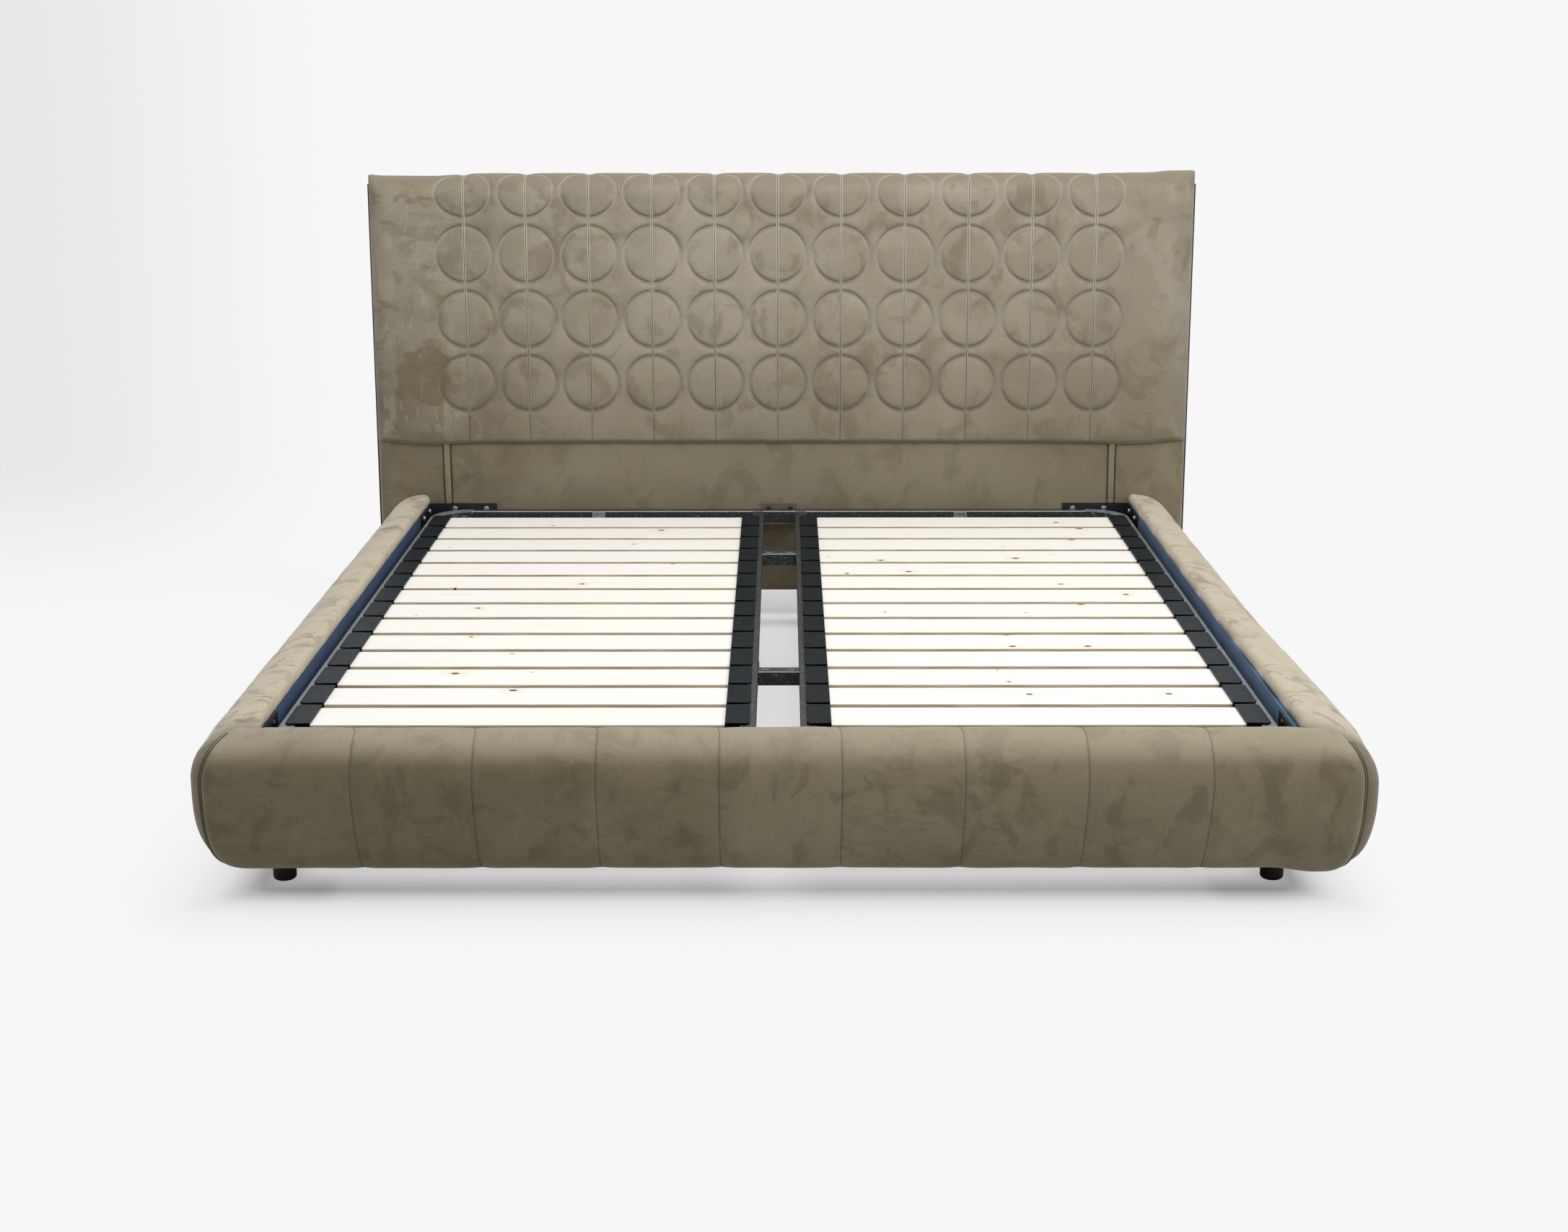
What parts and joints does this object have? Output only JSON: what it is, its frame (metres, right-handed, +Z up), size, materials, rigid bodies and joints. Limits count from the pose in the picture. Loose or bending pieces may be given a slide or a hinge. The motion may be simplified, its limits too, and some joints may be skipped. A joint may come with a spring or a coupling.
{
  "type": "double bed frame",
  "caption": "Low upholstered double bed with padded D-section rails, a headboard quilted in circles and a two-sided slatted steel base on short round legs",
  "frame": {"origin": "On the floor under the middle of the whole bed.", "axes": "+Z is up, +Y points from the foot end to the headboard, +X to the right of someone who stands at the foot end and faces the headboard."},
  "size_m": [2.102, 2.2684, 1.1429],
  "materials": {
    "cover": "matt, napped, mottled",
    "quilted_cover": "matt, napped, quilted",
    "back_cover": "matt",
    "piping": "matt",
    "lining": "twill weave",
    "board": "raw board",
    "slat_wood": "planed pine, unvarnished",
    "holder": "satin, finely textured",
    "frame_steel": "speckled powder coat",
    "bracket_steel": "satin black",
    "clip_steel": "galvanised",
    "bolt_steel": "zinc plated",
    "leg_plastic": "moulded"
  },
  "bodies": {
    "root": {"headboard_frame": "board", "headboard_plain_panel": "cover", "headboard_quilted_cushion": "quilted_cover", "headboard_back": "back_cover", "double_seam_left": "cover", "double_seam_right": "cover", "side_piping_left": "piping", "side_piping_right": "piping", "side_rail_board_left": "board", "side_rail_board_right": "board", "side_rail_cushion_left": "cover", "side_rail_cushion_right": "cover", "side_rail_lining_left": "lining", "side_rail_lining_right": "lining", "front_rail_board": "board", "front_rail_cushion": "cover", "front_rail_lining": "lining", "corner_bracket_head_left": "bracket_steel", "corner_bracket_head_right": "bracket_steel", "corner_bracket_foot_left": "bracket_steel", "corner_bracket_foot_right": "bracket_steel", "centre_bracket": "bracket_steel", "rail_bolts": "bolt_steel", "headboard_bolts": "bolt_steel", "side_ledge_left": "bracket_steel", "side_ledge_right": "bracket_steel", "leg_head_left": "leg_plastic", "leg_head_right": "leg_plastic", "leg_foot_left": "leg_plastic", "leg_foot_right": "leg_plastic", "leg_nuts": "bolt_steel", "middle_leg_head_left": "bracket_steel", "middle_leg_head_right": "bracket_steel", "middle_leg_foot_left": "bracket_steel", "middle_leg_foot_right": "bracket_steel", "middle_leg_glides": "leg_plastic", "base_head_bar": "frame_steel", "base_foot_bar": "frame_steel", "base_corner_bends": "frame_steel", "base_side_tube_left": "frame_steel", "base_side_tube_right": "frame_steel", "base_inner_tube_left": "frame_steel", "base_inner_tube_right": "frame_steel", "gap_bar_head": "frame_steel", "gap_bar_foot": "frame_steel", "foot_strap_left": "frame_steel", "foot_strap_right": "frame_steel", "head_bar_clips": "clip_steel", "slat_holders_outer_left": "holder", "slat_holders_inner_left": "holder", "slat_holders_inner_right": "holder", "slat_holders_outer_right": "holder", "slats_left": "slat_wood", "slats_right": "slat_wood"}
  },
  "joints": []
}
